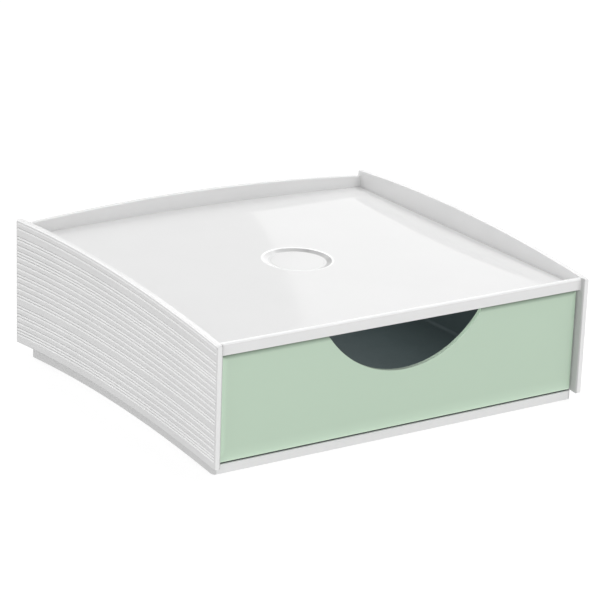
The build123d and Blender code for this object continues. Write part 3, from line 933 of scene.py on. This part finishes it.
def zinc_steel(name):
    """Zinc-plated steel: a bright metal with a faint yellow cast, cloudy and finely scuffed."""
    material, tree, shader, place = new_finish(name)
    shader.inputs["Metallic"].default_value = 1
    plating = add_node(tree, "ShaderNodeValToRGB", {"Fac": noise(tree, place, zinc_cells, detail=4)})
    for stop, factor in zip(plating.color_ramp.elements, (zinc_dark_share, 1)):
        stop.color = [channel * factor for channel in zinc_shade] + [1]
    tree.links.new(plating.outputs["Color"], shader.inputs["Base Color"])
    scuffs = spread(tree, noise(tree, place, scuff_cells, detail=3), zinc_gloss, zinc_gloss_range)
    tree.links.new(scuffs, shader.inputs["Roughness"])
    scratches = bumps(tree, noise(tree, place, scratch_cells, detail=3), scratch_depth)
    tree.links.new(scratches, shader.inputs["Normal"])
    return material


def screws(name, seats, finish, body, nodes):
    """Screws of one body from (place, aim, grip, flush) rows."""
    places, aims, grips, flushes = zip(*seats)
    mesh = bpy.data.meshes.new(name)
    mesh.from_pydata(places, [], [])
    rows = (("aim", "FLOAT_VECTOR", "vector", sum(aims, ())), ("grip", "FLOAT", "value", grips),
            ("flush", "FLOAT", "value", flushes))
    for label, kind, key, values in rows:
        mesh.attributes.new(label, kind, "POINT").data.foreach_set(key, values)
    piece = linked(name, mesh)
    run_tree(
        piece, seat_tree, head_radius=screw_head_radius, head_height=screw_head_height,
        sunk_height=sunk_depth, shank_radius=shank_radius, cross_width=cross_width,
        cross_depth=cross_depth, finish=finish)
    fit_piece(piece, finish, body, nodes)


seat_tree = screw_tree()
zinc = zinc_steel("zinc plated steel")
housing_seats = []
for node in ("base_screws", "deck_screws"):
    low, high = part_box(node)
    seat_z = low.z + screw_head_height
    housing_seats += [((x, y, seat_z), (0, 0, 1), high.z - seat_z, 0) for x, y in screw_grid(node, 0, 1)]
low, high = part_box("back_screws")
housing_seats += [
    ((x, high.y, z), (0, -1, 0), high.y - low.y, 1) for x, z in screw_grid("back_screws", 0, 2)]
for side_name, side in sides.items():
    low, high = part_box(f"{side_name}_runner_screws")
    seat_x = side * (inner_x - runner_web)
    housing_seats += [
        ((seat_x, y, (low.z + high.z) / 2), (side, 0, 0), high.x - low.x, 1) for y in runner_screw_ys]
screws("housing_fixing_screws", housing_seats, zinc, "housing", [
    "base_screws", "deck_screws", "back_screws", "left_runner_screws", "right_runner_screws"])

# Drawer tray: a grey open box that carries the goods, with a rib along each side for the runners.
# It is one matte moulding, scooped low behind the finger cut-out, with two tabs at the back for the stops
# and a thin flange in front whose face is painted nearly black: a painted shadow for the gap under the mint
# panel that stands on it.
tray_low, tray_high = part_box("drawer_tray")
front_low, front_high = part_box("drawer_front")
rail_low, rail_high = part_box("right_runner")
tray_side_gap = 9 * mm
tray_wall = 2.2 * mm
tray_corner = 3 * mm
least_corner = 0.5 * mm
tray_floor_round = 2.2 * mm
tray_edge = 0.5 * mm
tab_height = 5.2 * mm
rib_half = 1.5 * mm
rib_end_inset = 4 * mm
rib_edge = 0.5 * mm
notch_width = 110 * mm
notch_depth = 29.5 * mm
scoop_margin = 9 * mm
flange_wall = 1 * mm
flange_front_gap = 2.2 * mm
flange_lift = 0.12 * mm
flange_web = 1.4 * mm
flange_play = 0.4 * mm
tray_runs = 120
tray_half = inner_x - tray_side_gap
tray_floor = tray_low.z + tray_wall
tray_top = tray_high.z - tab_height
notch_low = lip_low - notch_depth
notch_radius = (notch_width ** 2 / 4 + notch_depth ** 2) / (2 * notch_depth)
notch_centre_z = notch_low + notch_radius


def tray_rim(x, y):
    """Height of the tray's rim, which dips behind the cut-out."""
    reach = notch_radius + scoop_margin
    if y > tray_low.y + tray_corner or abs(x) > reach:
        return tray_top
    return min(tray_top, notch_centre_z - math.sqrt(reach ** 2 - x ** 2))


def tray_row(inset, level, drop):
    """A loop around the tray: at a level, or at a drop below the rim where there is no level."""
    radius = max(tray_corner - inset, least_corner)
    outline = rounded_outline(
        (-tray_half + inset, tray_low.y + inset), (tray_half - inset, tray_high.y - inset), radius, tray_runs)
    return [(x, y, tray_rim(x, y) - drop if level is None else level) for x, y in outline]


edge_part = tray_edge * edge_share
rows = [
    (tray_edge, tray_low.z, 0),
    (edge_part, tray_low.z + edge_part, 0),
    (0, tray_low.z + tray_edge, 0),
    (0, None, tray_edge),
    (edge_part, None, edge_part),
    (tray_edge, None, 0),
    (tray_wall - tray_edge, None, 0),
    (tray_wall - edge_part, None, edge_part),
    (tray_wall, None, tray_edge),
]
for share, rise in arc((1, 1), 1, 180, 270):
    rows.append((tray_wall + tray_floor_round * share, tray_floor + tray_floor_round * rise, 0))
rows.append((tray_wall + 2 * tray_floor_round, tray_floor, 0))
tray = bmesh.new()
add_loft(tray, [tray_row(*row) for row in rows])
rail_z = (rail_low.z + rail_high.z) / 2
for side in sides.values():
    xs = sorted((side * (tray_half - tray_wall / 2), side * tray_high.x))
    add_soft_box(
        tray, (xs[0], tray_low.y + rib_end_inset, rail_z - rib_half),
        (xs[1], tray_high.y - rib_end_inset, rail_z + rib_half), rib_edge)
for side_name in sides:
    low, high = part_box(f"{side_name}_drawer_stop")
    add_soft_box(
        tray, (low.x, tray_high.y - tray_wall, tray_top - tab_height),
        (high.x, tray_high.y, tray_high.z), tray_edge)
flange_y, flange_top = front_low.y + flange_front_gap, front_low.z + flange_wall
flange_foot, flange_half = front_low.z + flange_lift, plinth_inner_x - flange_play
web_y = step_y - flange_play
add_prism(tray, [
    (flange_y, flange_foot),
    (web_y, flange_foot),
    (web_y, tray_low.z + flange_play),
    (tray_low.y + tray_wall / 2, tray_low.z + flange_play),
    (tray_low.y + tray_wall / 2, tray_floor),
    (web_y - flange_web, tray_floor),
    (web_y - flange_web, flange_top),
    (flange_y, flange_top),
], -flange_half, flange_half)
grey_tray = moulded_plastic(
    "grey tray plastic", shade=(0.115, 0.155, 0.16), gloss=0.5, grain=0.5 * mm, relief=0.03 * mm, cloud=0.08)
# Painted shadow: the flange's front faces are nearly black, standing in for the shadow in the gap under the
# mint panel.
flange_painted_shadow = moulded_plastic(
    "flange painted shadow", shade=(0.02, 0.027, 0.028), gloss=0.5, grain=0.5 * mm, relief=0.03 * mm)
tray_piece = new_object("tray_moulding", tray)
fit_piece(tray_piece, grey_tray, "drawer", ["drawer_tray"])
finish_faces(tray_piece, flange_painted_shadow, lambda spot, normal: spot.y < web_y and spot.z < tray_low.z)

# Drawer front: a mint green panel with rolled edges and a half-moon cut-out for the fingers.
# It is a satin moulding, and four bosses behind it take the screws that come through the tray.
front_wall = 2.8 * mm
roll_depth = 1.7 * mm
roll_side = 5 * mm
roll_top = 2.6 * mm
roll_foot = 8.5 * mm
roll_rows = 12
front_corner = 0.8 * mm
notch_edge = 0.45 * mm
notch_facets = 192
front_crease = 40
corner_share = 0.3
front_plane_y = front_low.y
front_back_y = front_plane_y + front_wall


def front_row(share, y, inset=0.0):
    """A loop of the drawer front, from its outer edge at no share to its flat at a share of one."""
    radius = front_corner + (roll_top - front_corner) * corner_share * share
    low = (front_low.x + roll_side * share + inset, flange_top + roll_foot * share + inset)
    high = (front_high.x - roll_side * share - inset, front_high.z - roll_top * share - inset)
    return [(x, y, z) for x, z in rounded_outline(low, high, radius)]


rows = [front_row(0, front_back_y, notch_edge), front_row(0, front_back_y - notch_edge)]
for number in range(roll_rows + 1):
    angle = math.pi / 2 * number / roll_rows
    rows.append(front_row(1 - math.cos(angle), front_plane_y + roll_depth * (1 - math.sin(angle))))
rows.append(front_row(1, front_plane_y, mm))
panel = bmesh.new()
add_loft(panel, rows)
half_moon = bmesh.new()
add_turned(
    half_moon, (0, front_back_y + mm, notch_centre_z),
    [(notch_radius, 0), (notch_radius, front_wall + 2 * mm)], (0, -1, 0), notch_facets)
mint_front = cut_away(panel, half_moon)
for x, z in screw_grid("drawer_front_screws", 0, 2):
    add_turned(mint_front, (x, front_high.y, z), [
        (boss_radius, 0), (boss_radius, front_high.y - front_back_y + mm / 2)], (0, -1, 0))
mint = moulded_plastic(
    "mint satin plastic", shade=(0.495, 0.63, 0.5), gloss=0.34, grain=0.6 * mm, relief=0.003 * mm,
    wave=0.01 * mm, cloud=0.01)
# Painted light and shade on the rolled edges: paler at the left and at the foot, a little paler at the right,
# darker along the top under the lip.
paint_light_by_slope(mint, pull=(-0.44, 0, -0.5), flare=(0.94, 0, 0))
front_piece = new_object("mint_drawer_front", mint_front)
fit_piece(front_piece, mint, "drawer", ["drawer_front"], notch_edge, front_crease)

# Drawer screws: four raised-head screws of the same zinc-plated steel as the others.
# They go through the front wall of the tray from inside, into the bosses behind the mint front.
low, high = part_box("drawer_front_screws")
seat_y = high.y - screw_head_height
drawer_seats = [
    ((x, seat_y, z), (0, -1, 0), seat_y - low.y, 0) for x, z in screw_grid("drawer_front_screws", 0, 2)]
screws("drawer_fixing_screws", drawer_seats, zinc, "drawer", ["drawer_front_screws"])

# Studio: a plain white table and a soft white surround, with large soft boxes above, behind and to the sides.
# The edge of the one at the back right shows in the glossy deck, and a faint light under the deck stands for
# the daylight that thin white plastic lets through.
table_half = 4.0
table_shade = 0.25
table_glow = 0.81
sky_parts = {(0, -1, 0): 0.68, (-1, 0, 0): 0.36, (0, 1, 0): 0.95}
soft_boxes = {
    "overhead soft box": (0, 90, 1.6, 1.6, 1.6, 0, 5.4),
    "rear sky panel": (5, 45, 1.8, 2.6, 0.9, 0, 12),
    "mirrored soft box": (57.5, 20, 1.7, 1.306, 1.3, 33, 2),
    "right soft box": (118, 57, 1.5, 0.6, 0.6, 0, 6.5),
    "key soft box": (-139, 25, 1.3, 0.7, 0.7, 0, 2.2),
    "glow through the deck": (0, 90, boss_low, 0.2, 0.2, 0, 0.06),
}
camera_azimuth = math.radians(-33.706)
camera_elevation = math.radians(18.538)
camera_roll = math.radians(2.057)
camera_distance = 1.5408
camera_aim = Vector((0.00256, -0.00058, 0.05034))
picture_width = 600
focal_pixels = 2476.45
film_width = 36

table = bmesh.new()
bmesh.ops.create_grid(table, x_segments=1, y_segments=1, size=table_half)
table_object = new_object("white_table", table)
table_finish, _, shader, _ = new_finish("white table")
table_looks = {
    "Base Color": (table_shade, table_shade, table_shade, 1), "Roughness": 0.9,
    "Specular IOR Level": 0.1, "Emission Color": (1, 1, 1, 1), "Emission Strength": table_glow}
for socket, value in table_looks.items():
    shader.inputs[socket].default_value = value
table_object.data.materials.append(table_finish)

world = bpy.data.worlds.new("white surround")
world.use_nodes = True
bpy.context.scene.world = world
sky = world.node_tree
sky.nodes["Background"].inputs["Color"].default_value = (1, 1, 1, 1)
towards = add_node(sky, "ShaderNodeTexCoord").outputs["Generated"]
level = 0
for direction, strength in sky_parts.items():
    facing = calc(sky, "MAXIMUM", along(sky, towards, direction), 0)
    level = calc(sky, "MULTIPLY_ADD", facing, strength, level)
sky.links.new(level, sky.nodes["Background"].inputs["Strength"])

for name, (bearing, elevation, distance, width, depth, lean, power) in soft_boxes.items():
    bearing, elevation, lean = math.radians(bearing), math.radians(elevation), math.radians(lean)
    reach = math.cos(elevation)
    towards = Vector((math.sin(bearing) * reach, math.cos(bearing) * reach, math.sin(elevation)))
    turn = towards.to_track_quat("Z", "Y") @ Quaternion((0, 0, 1), lean)
    light = bpy.data.lights.new(name, "AREA")
    light.shape = "RECTANGLE"
    light.size, light.size_y = width, depth
    light.energy = power
    lamp = linked(name, light)
    lamp.matrix_world = Matrix.LocRotScale(towards * distance, turn, (1, 1, 1))
    lamp.visible_camera = False

bpy.context.scene.view_settings.view_transform = "Standard"
camera_data = bpy.data.cameras.new("camera")
camera_data.sensor_width = film_width
camera_data.lens = focal_pixels / picture_width * film_width
camera = linked("camera", camera_data)
turn = Matrix.Rotation(camera_azimuth, 4, "Z") @ Matrix.Rotation(math.pi / 2 - camera_elevation, 4, "X")
turn = turn @ Matrix.Rotation(camera_roll, 4, "Z")
camera.matrix_world = Matrix.Translation(camera_aim) @ turn @ Matrix.Translation((0, 0, camera_distance))
bpy.context.scene.camera = camera
